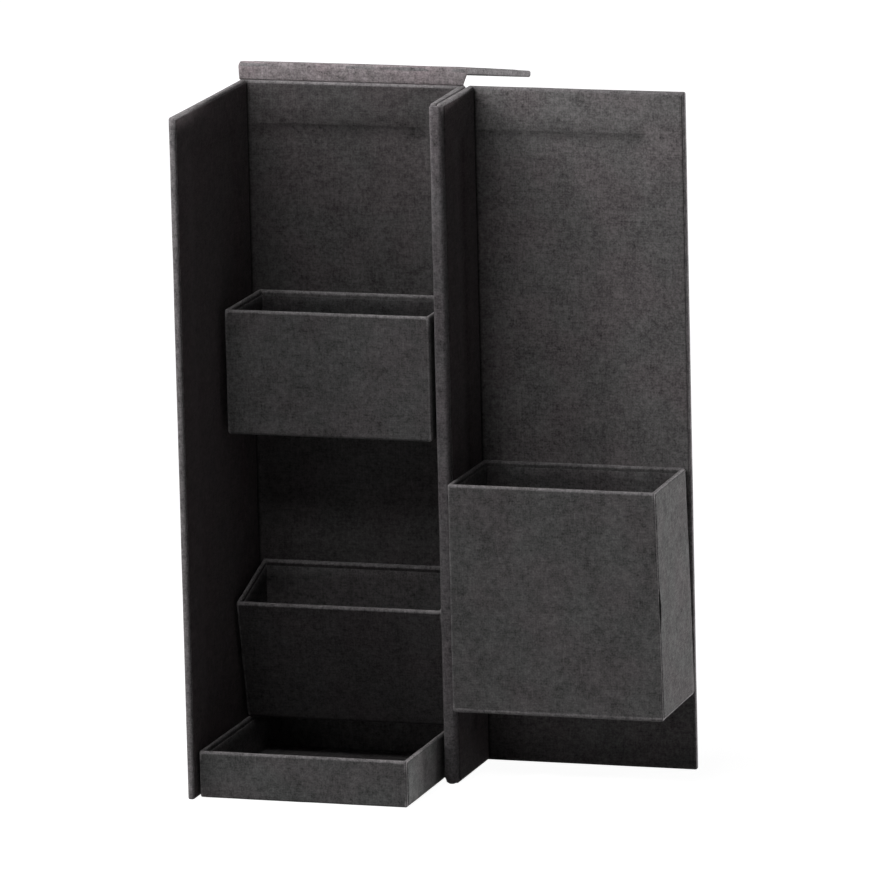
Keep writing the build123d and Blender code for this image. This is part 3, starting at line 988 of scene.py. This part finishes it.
# ---- Floor, light and camera -----------------------------------------------------------------------
# A wide floor of pale grey that keeps the box's shadow and is seen as white. Softboxes stand in front and
# above, and far lamps at the left, low in front and at the right. All sizes here are in metres.
floor_size = 40.0
floor_drop = 0.00002       # so that the floor and the undersides don't share a plane
floor_grey = (0.35, 0.35, 0.35, 1)
floor_white = 0.96         # how bright the floor is where the camera sees it
white = (1, 1, 1, 1)
ambient = 0.002            # how bright the world is to what isn't seen directly
box_middle = (0.05, 0.0, 0.25)


def seen_directly(tree):
    """1 where the camera looks, also by a reflection or through glass, and 0 for the light on the object."""
    path = tree.nodes.new("ShaderNodeLightPath").outputs
    seen = worked_out(tree, "MAXIMUM", path["Is Camera Ray"], path["Is Glossy Ray"])
    return worked_out(tree, "MAXIMUM", seen, path["Is Transmission Ray"])


floor_mesh = bpy.data.meshes.new("floor")
bm = bmesh.new()
bmesh.ops.create_grid(bm, x_segments=8, y_segments=8, size=floor_size / 2)
bm.to_mesh(floor_mesh)
bm.free()
floor = bpy.data.objects.new("floor", floor_mesh)
floor.location.z = -floor_drop
bpy.context.scene.collection.objects.link(floor)
floor_paint, tree, surface = fresh_material("floor paint")
surface["Base Color"].default_value = floor_grey
surface["Roughness"].default_value = 1.0
surface["Specular IOR Level"].default_value = 0.0
surface["Emission Color"].default_value = white
tree.links.new(worked_out(tree, "MULTIPLY", seen_directly(tree), floor_white), surface["Emission Strength"])
floor_mesh.materials.append(floor_paint)

world = bpy.data.worlds.new("studio")
world.use_nodes = True
tree = world.node_tree
backdrop = tree.nodes["Background"].inputs
backdrop["Color"].default_value = white
lit = worked_out(tree, "MULTIPLY_ADD", seen_directly(tree), 1 - ambient, ambient)
tree.links.new(lit, backdrop["Strength"])
bpy.context.scene.world = world


def soft_lamp(name, place, width, height, power):
    """A rectangular softbox at place, turned to the middle of the box."""
    lamp = bpy.data.lights.new(name, "AREA")
    lamp.shape = "RECTANGLE"
    lamp.size = width
    lamp.size_y = height
    lamp.energy = power
    softbox = bpy.data.objects.new(name, lamp)
    softbox.location = place
    softbox.rotation_mode = "QUATERNION"
    softbox.rotation_quaternion = (Vector(box_middle) - Vector(place)).to_track_quat("-Z", "Y")
    bpy.context.scene.collection.objects.link(softbox)


def far_lamp(name, azimuth, elevation, power, width):
    """A distant lamp that looks width degrees wide. Its azimuth turns from the front to the right."""
    turn, rise = radians(azimuth), radians(elevation)
    lamp = bpy.data.lights.new(name, "SUN")
    lamp.energy = power
    lamp.angle = radians(width)
    source = bpy.data.objects.new(name, lamp)
    source.rotation_mode = "QUATERNION"
    towards = Vector((sin(turn) * cos(rise), -cos(turn) * cos(rise), sin(rise)))
    source.rotation_quaternion = towards.to_track_quat("Z", "Y")
    bpy.context.scene.collection.objects.link(source)


soft_lamp("front softbox", (-0.05, -0.8, 0.95), width=0.36, height=0.2, power=2.2)
soft_lamp("overhead softbox", (-0.09, -0.12, 0.5), width=0.2, height=0.2, power=0.5)
far_lamp("left lamp", azimuth=-75, elevation=20, power=2.0, width=26)
far_lamp("left front lamp", azimuth=-52, elevation=38, power=0.58, width=10)
far_lamp("low front lamp", azimuth=-18, elevation=5, power=0.2, width=26)
far_lamp("right rear lamp", azimuth=126, elevation=1.2, power=2.64, width=5)
far_lamp("right lamp", azimuth=118, elevation=1.2, power=1.2, width=5)

camera_lens = 418.3
camera_place = Vector((1.42986, -4.35390, 1.10901))
camera_right = Vector((0.95457, 0.29705, -0.02344))
camera_up = Vector((-0.03822, 0.20007, 0.97904))
camera = bpy.data.objects.new("camera", bpy.data.cameras.new("camera"))
camera.data.lens = camera_lens
camera.data.sensor_width = 36.0
camera.data.clip_start = 0.1
camera.data.clip_end = 100.0
camera_turn = Matrix((camera_right, camera_up, camera_right.cross(camera_up))).transposed()
camera.matrix_world = Matrix.Translation(camera_place) @ camera_turn.to_4x4()
bpy.context.scene.collection.objects.link(camera)
bpy.context.scene.camera = camera
bpy.context.scene.view_settings.view_transform = "Standard"
